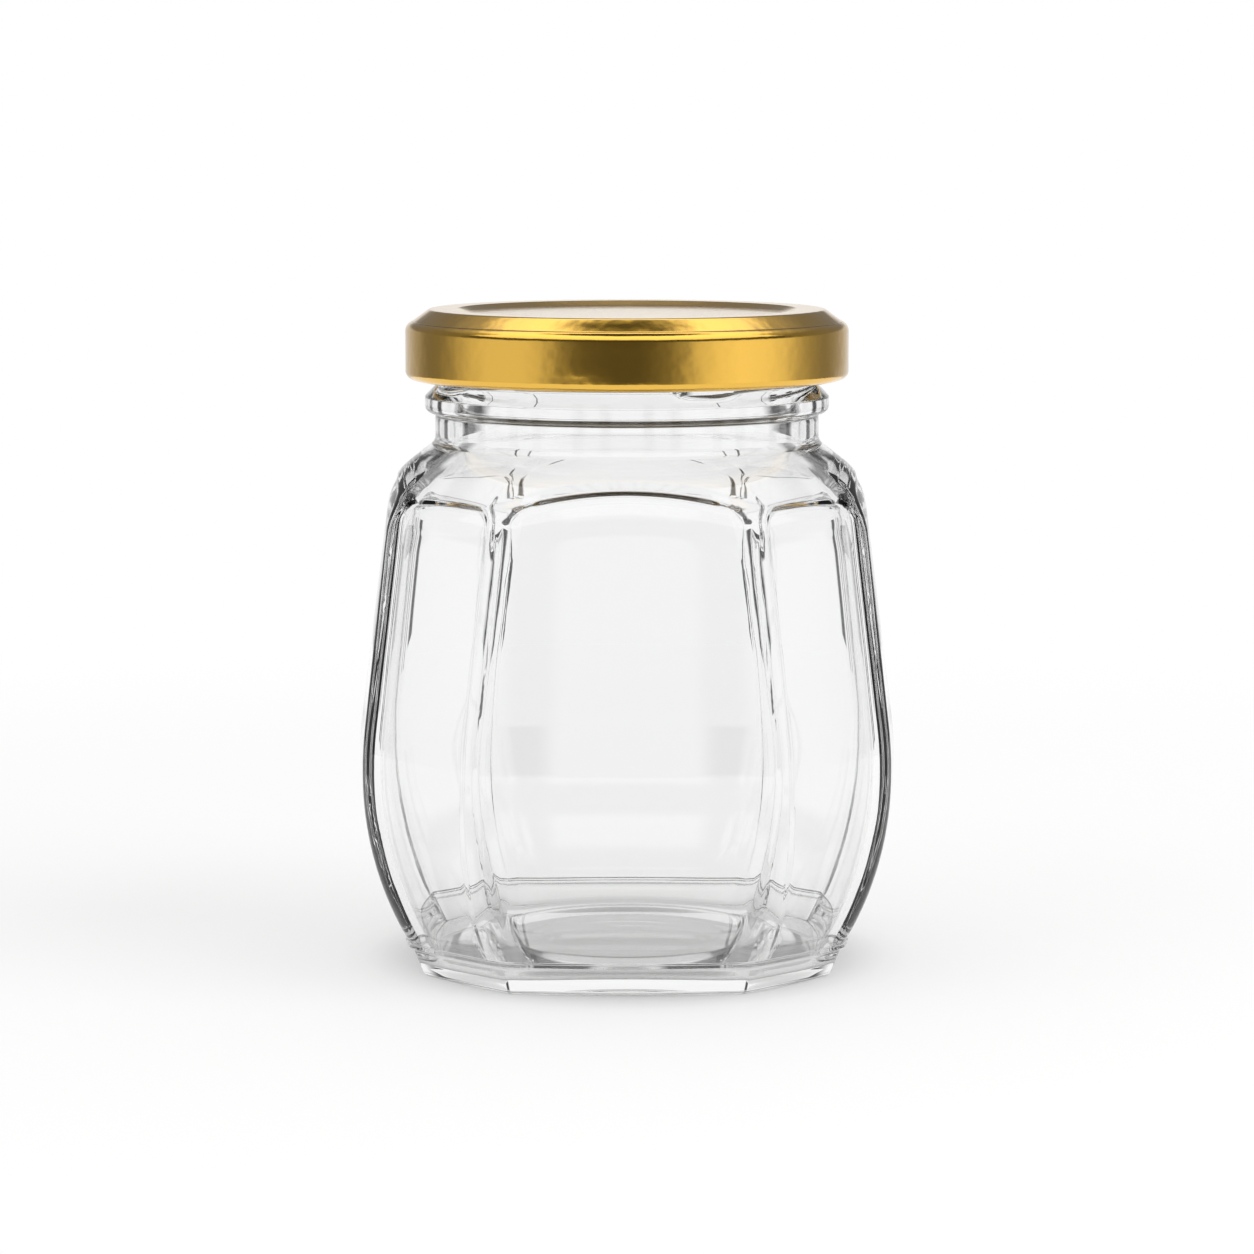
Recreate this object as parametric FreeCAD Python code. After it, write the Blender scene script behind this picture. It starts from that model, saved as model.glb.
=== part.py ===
"""Faceted glass jar with a twist-off lid.

Three solids: the jar, its tinplate lid and the soft ring that seals it.
Millimetres, +Z up, the origin at the centre of the base plane and the
front wide panel facing -Y.
"""
import FreeCAD, Part
import math
import os

V = FreeCAD.Vector
UP = V(0, 0, 1)

# ---- overall sizes of the jar -------------------------------------------
JAR_WIDTH = 79.0           # across two opposite wide panels at the belly
JAR_HEIGHT = 95.6          # base plane to the sealing rim
WALL = 2.7                 # glass in the panels and the shoulder
FLOOR_THICKNESS = 3.6      # glass under the middle of the inside floor

# ---- panels: widths are shares of the belly width -----------------------
SHOULDER_SHARE = 0.863     # across the wide panels where they meet the shoulder
HEEL_SHARE = 0.822         # across the wide panels where they meet the foot
BELLY_LEVEL = 0.325        # height of the widest section, share of the height
WIDE_PANEL_SHOULDER = 0.515  # width of a wide panel over the distance across
WIDE_PANEL_BELLY = 0.56
WIDE_PANEL_HEEL = 0.54
WIDE_BOW = 3.2             # plan radius of a wide panel over half the width
NARROW_BOW = 2.0           # the same for a narrow panel
RIDGE_RADIUS = 4.0         # outside, where two panels meet
ARCH_RADIUS = 3.4          # outside, where the panels meet the shoulder
PANEL_SINK = 0.4           # each panel lies this far below its raised frame
FRAME_DROP = 0.3           # the frame's lower edge under the shoulder
WINDOW_CORNER_RADIUS = 3.0
HALF_RIDGE_SHOULDER = 1.13  # half width of the raised ridge between panels
HALF_RIDGE_BELLY = 0.65
HALF_RIDGE_HEEL = 2.0
SHOULDER_ROUND = 9.5       # each panel bends inwards on this radius below the shoulder
SHOULDER_LEAN = 28.0       # degrees from upright, where that bend ends
INNER_RIDGE_RADIUS = 6.0
INNER_ARCH_RADIUS = 4.6

# ---- foot and base ------------------------------------------------------
FOOT_HEIGHT = 4.9
FOOT_STEP = 0.4            # the foot stands back from the heel by this much
FOOT_TAPER = 20.0          # degrees from upright
FOOT_CORNER_RADIUS = 1.6
FOOT_TOP_RADIUS = 0.5
FOOT_BOTTOM_RADIUS = 0.9
HEEL_RADIUS = 0.6
PUNT_DIAMETER = 44.0       # hollow under the base
PUNT_DEPTH = 1.3
FLOOR_FLAT_DIAMETER = 27.0
FLOOR_RISE = 0.3           # the inside floor climbs this much to its ring
FLOOR_RING_DIAMETER = 40.0  # outside this ring the inside floor climbs to the wall
FLOOR_CLIMB = 28.0         # degrees above level
INNER_FLOOR_RADIUS = 4.6

# ---- shoulder, neck and finish ------------------------------------------
SHOULDER_SLOPE = 38.0      # degrees below level
NECK_DIAMETER = 56.5
NECK_HEIGHT = 4.2          # shoulder to bead
NECK_FILLET = 1.6
FINISH_HEIGHT = 14.2       # underside of the bead to the sealing rim
FINISH_WALL = 2.25
FINISH_SETBACK = 0.4       # the finish stands inside the neck by this much
BEAD_STAND = 1.5           # how far the bead stands out from the neck
BEAD_BAND = 1.4            # upright part of the bead
BEAD_ROUND = 1.0
RIM_ROUND = 0.8

# ---- threads and lugs ---------------------------------------------------
LUG_COUNT = 4
LUG_ANGLE = -104.0         # degrees about +Z of the first lug
LUG_SPAN = 20.0            # degrees
THREAD_LEAD = 62.0         # degrees from the low end of a thread to its lug
THREAD_SPAN = 78.0         # degrees
THREAD_STAND = 2.15        # how far a thread stands out from the finish
THREAD_ROOT = 1.9
THREAD_CREST = 1.0
THREAD_STATIONS = 9
THREAD_CLEARANCE = 0.15    # between a lug and the underside of its thread
BORE_CLEARANCE = 0.6       # between the threads and the hem of the lid
LUG_BITE = 0.85            # how far a lug reaches under its thread
LUG_LIFT = 0.15            # the lug stands this far above the lower edge
LUG_ROUND = 0.35

# ---- lid and seal -------------------------------------------------------
SHEET = 0.3
SEAL_THICKNESS = 0.6
SEAL_OVERHANG = 0.75       # the seal reaches past the rim on both sides
LID_HEIGHT = 10.2
HEM_WIDTH = 2.0
HEM_HEIGHT = 1.8
HEM_ROUND = 1.2
PANEL_RECESS = 0.6         # the middle panel lies below the ring
PANEL_RUN = 1.75           # from the ring in to the middle panel
RING_MARGIN = 0.5          # the ring reaches past the seal on both sides
STEP_DROP = 1.75           # from the ring down to the shoulder of the lid
STEP_RUN = 2.4
LID_CORNER_RADIUS = 1.0
DENT_DEPTH = 0.45          # outside mark of a pressed lug
DENT_RADIUS = 1.0

# ---- worked out from the sizes above ------------------------------------
HALF_BELLY = JAR_WIDTH / 2 + PANEL_SINK
HALF_SHOULDER = HALF_BELLY * SHOULDER_SHARE
HALF_HEEL = HALF_BELLY * HEEL_SHARE
BELLY_Z = JAR_HEIGHT * BELLY_LEVEL
BEAD_Z = JAR_HEIGHT - FINISH_HEIGHT
NECK_Z = BEAD_Z - NECK_HEIGHT
NECK_R = NECK_DIAMETER / 2
FINISH_R = NECK_R - FINISH_SETBACK
BORE_R = FINISH_R - FINISH_WALL
BEAD_R = NECK_R + BEAD_STAND
BEAD_SHOULDER_Z = BEAD_Z + BEAD_ROUND + BEAD_BAND
THREAD_R = FINISH_R + THREAD_STAND
HEM_BORE_R = THREAD_R + BORE_CLEARANCE
LID_R = HEM_BORE_R + HEM_WIDTH
LID_TOP = JAR_HEIGHT + SEAL_THICKNESS + SHEET
LID_BOTTOM = LID_TOP - LID_HEIGHT
LUG_TOP = LID_BOTTOM + 0.7 * HEM_HEIGHT
BLANK_R = HALF_BELLY * 1.35


def turned(shape, degrees):
    """A copy of the shape turned about the jar's axis."""
    copy = shape.copy()
    copy.rotate(V(0, 0, 0), UP, degrees)
    return copy


def rounded_outline(points, radii):
    """Wire through (radius, height) points, each corner rounded by its radius."""
    count = len(points)
    corners = []
    for i in range(count):
        here = V(points[i][0], 0, points[i][1])
        if radii[i] == 0:
            corners.append((here, here, here))
            continue
        before = V(points[i - 1][0], 0, points[i - 1][1]) - here
        after = V(points[(i + 1) % count][0], 0, points[(i + 1) % count][1]) - here
        before.normalize()
        after.normalize()
        half_angle = before.getAngle(after) / 2
        reach = radii[i] / math.tan(half_angle)
        middle = before + after
        middle.normalize()
        depth = radii[i] / math.sin(half_angle) - radii[i]
        corners.append((here + before * reach, here + middle * depth, here + after * reach))
    edges = []
    for i in range(count):
        start, middle, end = corners[i]
        if radii[i]:
            edges.append(Part.Arc(start, middle, end).toShape())
        following = corners[(i + 1) % count][0]
        if (following - end).Length > 1e-6:
            edges.append(Part.makeLine(end, following))
    return Part.Wire(edges)


def revolve_rounded(points, radii):
    """Solid of revolution of an outline with rounded corners."""
    return Part.Face(rounded_outline(points, radii)).revolve(V(0, 0, 0), UP, 360)


def plan_bow(half_panel, bow_radius):
    """How far a bowed panel has fallen back at its own edge."""
    return bow_radius - math.sqrt(bow_radius ** 2 - half_panel ** 2)


def narrow_reach(half_width, share):
    """Distance from the axis to a narrow panel between two wide ones."""
    half_panel = share * half_width
    ridge_reach = half_width - plan_bow(half_panel, WIDE_BOW * HALF_BELLY)
    half_narrow = (ridge_reach - half_panel) / math.sqrt(2)
    return (ridge_reach + half_panel) / math.sqrt(2) + plan_bow(half_narrow, NARROW_BOW * HALF_BELLY)


def barrel_line(heel, belly, shoulder, low, high, bend_radius=0):
    """Edges of a panel seen from the side: an arc at the belly, then a taper.

    The arc is upright at the belly, starts at the heel, and runs on until it
    is in line with the straight taper that reaches the shoulder. With a bend
    radius, the taper then bends inwards under the slope of the shoulder.
    """
    drop = BELLY_Z - FOOT_HEIGHT
    inset = belly - heel
    arc_r = (drop ** 2 + inset ** 2) / (2 * inset)
    centre = V(belly - arc_r, 0, BELLY_Z)
    target = V(shoulder, 0, NECK_Z) - centre
    lean = math.atan2(target.z, target.x) - math.acos(arc_r / target.Length)

    def on_arc(angle):
        return centre + V(math.cos(angle), 0, math.sin(angle)) * arc_r

    low_angle = -math.asin((BELLY_Z - low) / arc_r)
    joint = on_arc(lean)
    edges = [Part.Arc(on_arc(low_angle), on_arc((low_angle + lean) / 2), joint).toShape()]
    if bend_radius:
        slope = math.radians(SHOULDER_SLOPE)
        end_lean = math.radians(SHOULDER_LEAN)
        fall = (shoulder - NECK_R) * math.tan(slope) / (1 - math.tan(lean) * math.tan(slope))
        start_z = NECK_Z - fall - bend_radius * math.tan((math.pi / 2 - slope - lean) / 2)
        start = V(joint.x - (start_z - joint.z) * math.tan(lean), 0, start_z)
        middle = start - V(math.cos(lean), 0, math.sin(lean)) * bend_radius

        def on_bend(angle):
            return middle + V(math.cos(angle), 0, math.sin(angle)) * bend_radius

        end = on_bend(end_lean)
        edges.append(Part.makeLine(joint, start))
        edges.append(Part.Arc(start, on_bend((lean + end_lean) / 2), end).toShape())
        joint, lean = end, end_lean
    run = (high - joint.z) * math.tan(lean)
    edges.append(Part.makeLine(joint, V(joint.x - run, 0, high)))
    return edges


def straight_line(bottom, top, low, high):
    """One straight edge of a panel seen from the side."""
    return [Part.makeLine(V(bottom, 0, low), V(top, 0, high))]


def panel_body(edges, reach, bow_radius, degrees):
    """Everything behind one bowed panel, facing the given direction."""
    axis_x = reach - bow_radius
    start = edges[0].Vertexes[0].Point
    end = edges[-1].Vertexes[-1].Point
    closing = Part.makePolygon([end, V(axis_x, 0, end.z), V(axis_x, 0, start.z), start])
    face = Part.Face(Part.Wire(edges + closing.Edges))
    face.rotate(V(axis_x, 0, 0), UP, 180)
    return turned(face.revolve(V(axis_x, 0, 0), UP, 360), degrees)


def panelled(wide_edges, wide_reach_belly, narrow_edges, narrow_reach_belly, wide_bow, narrow_bow):
    """The solid bounded by four wide and four narrow panels."""
    solid = None
    for step in range(8):
        if step % 2 == 0:
            body = panel_body(wide_edges, wide_reach_belly, wide_bow, 45 * step)
        else:
            body = panel_body(narrow_edges, narrow_reach_belly, narrow_bow, 45 * step)
        solid = body if solid is None else solid.common(body)
    return solid


def ridge_edges(shape):
    """Edges of a panelled solid that are not level."""
    return [e for e in shape.Edges if e.BoundBox.ZLength > 0.1]


def level_edges(shape, height):
    """Edges that lie in a level plane."""
    return [e for e in shape.Edges
            if e.BoundBox.ZLength < 1e-3 and abs(e.BoundBox.ZMin - height) < 1e-3]


def panel_halves():
    """Distances from the axis to the wide and the narrow panels at heel, belly and shoulder."""
    wide = (HALF_HEEL, HALF_BELLY, HALF_SHOULDER)
    shares = (WIDE_PANEL_HEEL, WIDE_PANEL_BELLY, WIDE_PANEL_SHOULDER)
    return wide, [narrow_reach(half, share) for half, share in zip(wide, shares)]


def barrel(inset, low, high, bend_radius=0):
    """The eight-panelled body with sharp ridges, moved inwards by an amount."""
    wide, narrow = ([half - inset for half in halves] for halves in panel_halves())
    return panelled(
        barrel_line(*wide, low, high, bend_radius), wide[1],
        barrel_line(*narrow, low, high, bend_radius), narrow[1],
        WIDE_BOW * HALF_BELLY - inset, NARROW_BOW * HALF_BELLY - inset)


def half_ridge(z):
    """Half width of the raised ridge between two windows at a height."""
    if z < BELLY_Z:
        share = (z - FOOT_HEIGHT) / (BELLY_Z - FOOT_HEIGHT)
        return HALF_RIDGE_HEEL + (HALF_RIDGE_BELLY - HALF_RIDGE_HEEL) * share
    share = (z - BELLY_Z) / (NECK_Z - BELLY_Z)
    return HALF_RIDGE_BELLY + (HALF_RIDGE_SHOULDER - HALF_RIDGE_BELLY) * share


def ridge_points(sharp_barrel):
    """Points up the first ridge anticlockwise of +X, lowest first."""
    points = []
    for edge in ridge_edges(sharp_barrel):
        middle = edge.CenterOfMass
        if 0 < math.atan2(middle.y, middle.x) < math.pi / 4:
            points += edge.discretize(Number=9)
    points.sort(key=lambda p: p.z)
    kept = []
    for point in points:
        if point.z > FOOT_HEIGHT + 1.5 and (not kept or point.z > kept[-1].z + 1):
            kept.append(point)
    return kept


def arch_height(lateral, shoulder, axis_x):
    """Height where the shoulder slope meets a panel, at a distance from the panel's middle."""
    slope = math.tan(math.radians(SHOULDER_SLOPE))
    reach = shoulder
    for _ in range(8):
        x = axis_x + math.sqrt((reach - axis_x) ** 2 - lateral ** 2)
        z = NECK_Z - (math.hypot(x, lateral) - NECK_R) * slope
        reach = shoulder + (NECK_Z - z) * (HALF_BELLY - HALF_SHOULDER) / (NECK_Z - BELLY_Z)
    return z - FRAME_DROP


def window(points, degrees, halves, bow_radius):
    """What is taken off one panel inside its raised frame, turned to face +X."""
    turn = math.radians(degrees)
    side = []
    for p in points:
        lateral = math.hypot(p.x, p.y) * abs(math.sin(math.atan2(p.y, p.x) - turn))
        side.append(V(0, lateral - half_ridge(p.z), p.z))
    axis_x = halves[1] - bow_radius
    side = [p for p in side if p.z < arch_height(p.y, halves[2], axis_x) - 1.5]
    rise = (side[-1].y - side[-2].y) / (side[-1].z - side[-2].z)
    corner = side[-1]
    for _ in range(8):
        z = arch_height(corner.y, halves[2], axis_x)
        corner = V(0, side[-1].y + rise * (z - side[-1].z), z)
    right = Part.BSplineCurve()
    right.interpolate(side + [corner])
    arch = Part.BSplineCurve()
    spread = [corner.y * k / 4 for k in range(-4, 5)]
    arch.interpolate([V(0, y, arch_height(y, halves[2], axis_x)) for y in spread])
    low = side[0]
    sides = [right.toShape(), right.toShape().mirror(V(0, 0, 0), V(0, 1, 0))]
    bottom = Part.makeLine(V(0, -low.y, low.z), low)
    outline = Part.Wire(Part.sortEdges(sides + [bottom, arch.toShape()])[0])
    prism = Part.Face(outline).extrude(V(BLANK_R, 0, 0))
    corners = [e for e in prism.Edges if e.BoundBox.XLength > 1 and e.CenterOfMass.z > BELLY_Z]
    prism = prism.makeFillet(WINDOW_CORNER_RADIUS, corners)
    sunk = barrel_line(halves[0], halves[1] - PANEL_SINK, halves[2] - PANEL_SINK,
                       FOOT_HEIGHT, NECK_Z, SHOULDER_ROUND)
    behind = panel_body(sunk, halves[1] - PANEL_SINK, bow_radius - PANEL_SINK, 0)
    return prism.cut(behind)


def foot():
    """The octagonal foot: eight tapered panels, all edges rounded."""
    taper = FOOT_HEIGHT * math.tan(math.radians(FOOT_TAPER))
    wide = HALF_HEEL - FOOT_STEP
    narrow = narrow_reach(HALF_HEEL, WIDE_PANEL_HEEL) - FOOT_STEP
    solid = panelled(
        straight_line(wide - taper, wide, 0, FOOT_HEIGHT), wide,
        straight_line(narrow - taper, narrow, 0, FOOT_HEIGHT), narrow,
        WIDE_BOW * HALF_BELLY, NARROW_BOW * HALF_BELLY)
    solid = solid.makeFillet(FOOT_CORNER_RADIUS, ridge_edges(solid))
    solid = solid.makeFillet(FOOT_TOP_RADIUS, level_edges(solid, FOOT_HEIGHT))
    return solid.makeFillet(FOOT_BOTTOM_RADIUS, level_edges(solid, 0))


def turned_blank():
    """Round outline of shoulder, neck, bead and finish, with room for the panels."""
    fall = (BLANK_R - NECK_R) * math.tan(math.radians(SHOULDER_SLOPE))
    corners = [
        (0, FOOT_HEIGHT, 0),
        (BLANK_R, FOOT_HEIGHT, 0),
        (BLANK_R, NECK_Z - fall, 0),
        (NECK_R, NECK_Z, NECK_FILLET),
        (NECK_R, BEAD_Z, 0.4),
        (BEAD_R, BEAD_Z, BEAD_ROUND),
        (BEAD_R, BEAD_SHOULDER_Z, 0.4),
        (FINISH_R, BEAD_SHOULDER_Z + BEAD_R - FINISH_R, 0.5),
        (FINISH_R, JAR_HEIGHT, RIM_ROUND),
        (BORE_R, JAR_HEIGHT, RIM_ROUND),
        (BORE_R, JAR_HEIGHT - 2 * RIM_ROUND, 0),
        (0, JAR_HEIGHT - 2 * RIM_ROUND, 0),
    ]
    return revolve_rounded([c[:2] for c in corners], [c[2] for c in corners])


def runs_round(edge):
    """Whether an edge goes round the axis rather than up or outwards."""
    halfway = (edge.FirstParameter + edge.LastParameter) / 2
    point = edge.valueAt(halfway)
    level = V(-point.y, point.x, 0).normalize()
    return abs(edge.tangentAt(halfway).dot(level)) > 0.7


def shoulder_edges(shape, neck_r):
    """Edges between the panels and the sloping shoulder."""
    low = (BELLY_Z + NECK_Z) / 2
    picked = []
    for edge in shape.Edges:
        middle = edge.CenterOfMass
        end = edge.Vertexes[0].Point
        if low < middle.z and end.z < NECK_Z and math.hypot(end.x, end.y) > neck_r and runs_round(edge):
            picked.append(edge)
    return picked


def jar_outside():
    """Foot, panelled body, shoulder, neck and finish as one solid."""
    blank = turned_blank()
    mid_neck = (NECK_Z + BEAD_Z) / 2
    sharp = barrel(0, FOOT_HEIGHT, mid_neck, SHOULDER_ROUND)
    body = sharp.makeFillet(RIDGE_RADIUS, ridge_edges(sharp)).common(blank)
    body = body.makeFillet(ARCH_RADIUS, shoulder_edges(body, NECK_R + NECK_FILLET))
    body = body.makeFillet(HEEL_RADIUS, level_edges(body, FOOT_HEIGHT))
    points = ridge_points(sharp)
    wide, narrow = panel_halves()
    wide_window = window(points, 0, wide, WIDE_BOW * HALF_BELLY)
    narrow_window = window(points, 45, narrow, NARROW_BOW * HALF_BELLY)
    for side in range(4):
        body = body.cut(turned(wide_window, 90 * side)).cut(turned(narrow_window, 90 * side + 45))
    finish = blank.cut(Part.makeCylinder(BLANK_R + 1, mid_neck))
    return body.fuse([foot(), finish])


def cavity():
    """The inside of the jar, from the floor up through the mouth."""
    slope = math.tan(math.radians(SHOULDER_SLOPE))
    lift = WALL / math.cos(math.radians(SHOULDER_SLOPE))
    corner_z = NECK_Z - lift + (NECK_R - BORE_R) * slope
    ring_r = FLOOR_RING_DIAMETER / 2
    ring_z = FLOOR_THICKNESS + FLOOR_RISE
    climb = (BLANK_R - ring_r) * math.tan(math.radians(FLOOR_CLIMB))
    corners = [
        (0, FLOOR_THICKNESS, 0),
        (FLOOR_FLAT_DIAMETER / 2, FLOOR_THICKNESS, 12),
        (ring_r, ring_z, 8),
        (BLANK_R, ring_z + climb, 0),
        (BLANK_R, corner_z - (BLANK_R - BORE_R) * slope, 0),
        (BORE_R, corner_z, 2.5),
        (BORE_R, JAR_HEIGHT + 1, 0),
        (0, JAR_HEIGHT + 1, 0),
    ]
    blank = revolve_rounded([c[:2] for c in corners], [c[2] for c in corners])
    low = FLOOR_THICKNESS - 1
    sharp = barrel(WALL + PANEL_SINK, low, JAR_HEIGHT + 2)
    body = sharp.makeFillet(INNER_RIDGE_RADIUS, ridge_edges(sharp)).common(blank)
    body = body.makeFillet(INNER_ARCH_RADIUS, shoulder_edges(body, BORE_R + 2.5))
    rim = [e for e in body.Edges
           if ring_z < e.BoundBox.ZMin and e.BoundBox.ZMax < BELLY_Z and runs_round(e)
           and math.hypot(*e.Vertexes[0].Point[:2]) > (ring_r + HALF_HEEL) / 2]
    return body.makeFillet(INNER_FLOOR_RADIUS, rim)


def punt():
    """The shallow hollow under the base."""
    half = PUNT_DIAMETER / 2
    radius = (half ** 2 + PUNT_DEPTH ** 2) / (2 * PUNT_DEPTH)
    return Part.makeSphere(radius, V(0, 0, PUNT_DEPTH - radius))


def thread():
    """One thread: a slanted ridge that rises anticlockwise and fades at both ends.

    Its underside just clears the top of the lug that is turned under it.
    """
    low_end = LUG_ANGLE - THREAD_LEAD
    low_z = BEAD_SHOULDER_Z + THREAD_ROOT
    root_r = FINISH_R - FINISH_WALL / 4
    slant = (THREAD_ROOT - THREAD_CREST) / 2 / (THREAD_R - root_r)
    underside = THREAD_CREST / 2 + slant * LUG_BITE
    climb = (LUG_TOP + THREAD_CLEARANCE + underside - low_z) / THREAD_LEAD
    sections = []
    for i in range(THREAD_STATIONS):
        along = i / (THREAD_STATIONS - 1)
        stand = THREAD_STAND * max(0.08, math.sin(math.pi * along) ** 0.4)
        z = low_z + climb * THREAD_SPAN * along
        corners = [
            (root_r, z - THREAD_ROOT / 2),
            (FINISH_R + stand, z - THREAD_CREST / 2),
            (FINISH_R + stand, z + THREAD_CREST / 2),
            (root_r, z + THREAD_ROOT / 2),
        ]
        wire = Part.makePolygon([V(r, 0, h) for r, h in corners + corners[:1]])
        sections.append(turned(wire, low_end + THREAD_SPAN * along))
    return Part.makeLoft(sections, True, False)


def around(shape):
    """Copies of a shape, one for each lug."""
    return [turned(shape, 360 / LUG_COUNT * i) for i in range(LUG_COUNT)]


def jar():
    """The whole glass jar."""
    glass = jar_outside().fuse(around(thread()))
    return glass.cut([cavity(), punt()]).Solids[0]


def lid():
    """The pressed lid: recessed panel, ring, step, skirt, hem and inward lugs."""
    ring_in = BORE_R + RIM_ROUND - SEAL_OVERHANG - RING_MARGIN
    ring_out = FINISH_R + SEAL_OVERHANG + RING_MARGIN
    panel_z = LID_TOP - PANEL_RECESS
    step_z = LID_TOP - STEP_DROP
    corners = [
        (0, panel_z, 0),
        (ring_in - PANEL_RUN, panel_z, 0.5),
        (ring_in, LID_TOP, 0.8),
        (ring_out, LID_TOP, 1.0),
        (ring_out + STEP_RUN, step_z, 0.6),
        (LID_R, step_z - 0.2, LID_CORNER_RADIUS),
        (LID_R, LID_BOTTOM, HEM_ROUND),
        (HEM_BORE_R, LID_BOTTOM, 0.6),
        (HEM_BORE_R, LID_BOTTOM + HEM_HEIGHT, 0.6),
        (LID_R - SHEET, LID_BOTTOM + HEM_HEIGHT, 0.3),
        (LID_R - SHEET, step_z - 0.2 - SHEET, LID_CORNER_RADIUS - SHEET),
        (ring_out + STEP_RUN - SHEET, step_z - SHEET, 0.6 + SHEET),
        (ring_out - SHEET / 2, LID_TOP - SHEET, 0.7),
        (ring_in + SHEET / 2, LID_TOP - SHEET, 0.5),
        (ring_in - PANEL_RUN + SHEET / 2, panel_z - SHEET, 0.8),
        (0, panel_z - SHEET, 0),
    ]
    sheet = revolve_rounded([c[:2] for c in corners], [c[2] for c in corners])
    sheet = sheet.fuse(around(turned(lug(), LUG_ANGLE)))
    return sheet.cut(around(turned(dent(), LUG_ANGLE))).Solids[0]


def lug():
    """One lug, facing +X: the part of the hem pressed inwards under a thread."""
    tip = THREAD_R - LUG_BITE
    end = turned(Part.Vertex(HEM_BORE_R, 0, 0), LUG_SPAN / 2).Point
    swell = end.x - tip
    radius = (end.y ** 2 + swell ** 2) / (2 * swell)
    pin = Part.makeCylinder(radius, LUG_TOP - LID_BOTTOM - LUG_LIFT, V(tip + radius, 0, LID_BOTTOM + LUG_LIFT))
    rims = [e for e in pin.Edges if e.BoundBox.ZLength < 1e-3]
    pin = pin.makeFillet(LUG_ROUND, rims)
    hem_middle = Part.makeCylinder(HEM_BORE_R + HEM_WIDTH / 2, LID_TOP)
    return pin.common(hem_middle)


def dent():
    """The tool mark outside one lug, facing +X."""
    centre = LID_R - DENT_DEPTH + DENT_RADIUS
    tool = Part.makeCylinder(DENT_RADIUS, LID_R, V(centre, -LID_R / 2, 0), V(0, 1, 0))
    tool.translate(V(0, 0, LID_BOTTOM + HEM_ROUND / 2 + 0.35))
    return tool


def seal():
    """The soft ring between the rim of the jar and the ring of the lid."""
    inner = BORE_R + RIM_ROUND - SEAL_OVERHANG
    outer = FINISH_R + SEAL_OVERHANG
    ring = Part.makeCylinder(outer, SEAL_THICKNESS, V(0, 0, JAR_HEIGHT))
    return ring.cut(Part.makeCylinder(inner, SEAL_THICKNESS, V(0, 0, JAR_HEIGHT)))


os.makedirs("parts", exist_ok=True)
for name, shape in (("jar", jar()), ("lid", lid()), ("seal", seal().Solids[0])):
    shape.exportStep(os.path.join("parts", name + ".step"))
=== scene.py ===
"""Faceted glass jar with a gold twist-off lid, on a white studio floor."""
import bpy
import bmesh
import math
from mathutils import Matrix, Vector


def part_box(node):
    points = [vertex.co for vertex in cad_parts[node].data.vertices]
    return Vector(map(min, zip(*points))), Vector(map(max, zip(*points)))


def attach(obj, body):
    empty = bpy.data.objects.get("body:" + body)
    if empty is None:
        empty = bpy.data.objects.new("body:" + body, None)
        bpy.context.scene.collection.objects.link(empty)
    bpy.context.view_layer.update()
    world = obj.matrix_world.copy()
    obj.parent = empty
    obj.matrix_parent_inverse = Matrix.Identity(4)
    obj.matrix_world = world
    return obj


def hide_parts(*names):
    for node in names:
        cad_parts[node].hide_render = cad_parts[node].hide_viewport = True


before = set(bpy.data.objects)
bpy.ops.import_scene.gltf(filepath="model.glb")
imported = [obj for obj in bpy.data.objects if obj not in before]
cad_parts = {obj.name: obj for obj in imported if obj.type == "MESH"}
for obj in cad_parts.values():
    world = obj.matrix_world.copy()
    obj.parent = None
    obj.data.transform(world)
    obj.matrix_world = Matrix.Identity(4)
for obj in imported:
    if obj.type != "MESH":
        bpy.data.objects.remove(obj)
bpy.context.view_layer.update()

MM = 0.001


def drawn(metres):
    """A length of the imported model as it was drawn, in millimetres: its facets fall a little short."""
    return round(metres / MM, 1)


jar_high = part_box("jar")[1]
lid_low, lid_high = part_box("lid")

# ---- sizes of the jar, in millimetres -----------------------------------
PANEL_SINK = 0.4                # each panel lies this far below its raised frame
SINK_LOSS = 0.4                 # share of that lost on the way down to the foot
SINK_RUN = 0.6                  # width of the slope from the frame to the panel
PANEL_CORNER = 3.0              # rounding of a panel's upper corners
ARCH_RISE = 0.8                 # from the shoulder's corner up to the frame's arch
HEEL_LIP = 0.3                  # the panels start this far above the foot
HALF_BELLY = drawn(jar_high.x) + PANEL_SINK
HALF_HEEL = 0.822 * HALF_BELLY
HALF_SHOULDER = 0.863 * HALF_BELLY
BELLY_Z = 31.07
WIDE_SHARES = (0.54, 0.56, 0.515)   # wide panel over the distance across: heel, belly, shoulder
WIDE_BOW = 3.2 * HALF_BELLY     # plan radius of a wide panel
NARROW_BOW = 2.0 * HALF_BELLY
RIDGE_TURN = math.radians(30.5)     # about where the ridges are, from the middle of a wide panel

WALL = 2.7
INSET = WALL + PANEL_SINK       # from the raised frame to the inside
SHOULDER_WALL = 2.4
PUNT = (22.0, 1.3)              # hollow under the base: radius, height
FLOOR = 3.6                     # inside floor above the base plane
FLOOR_FLAT = 13.5               # radius of its level middle
FLOOR_RING = (20.0, 3.9)        # radius, height of its highest ring
FLOOR_FALL = math.radians(9)    # from the ring out to the wall

FOOT_HEIGHT = 4.9
FOOT_TOP_Z = FOOT_HEIGHT - 0.3
GROOVE_Z = FOOT_HEIGHT - 0.2    # groove between the foot and the heel
GROOVE_BACK = 1.3               # how far it lies in from the heel
HEEL_Z = FOOT_HEIGHT + 0.25
FOOT_STEP = 0.4                 # the foot stands back from the heel
FOOT_TAPER = math.radians(20)
FOOT_CORNER = 1.6               # rounding in plan

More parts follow.
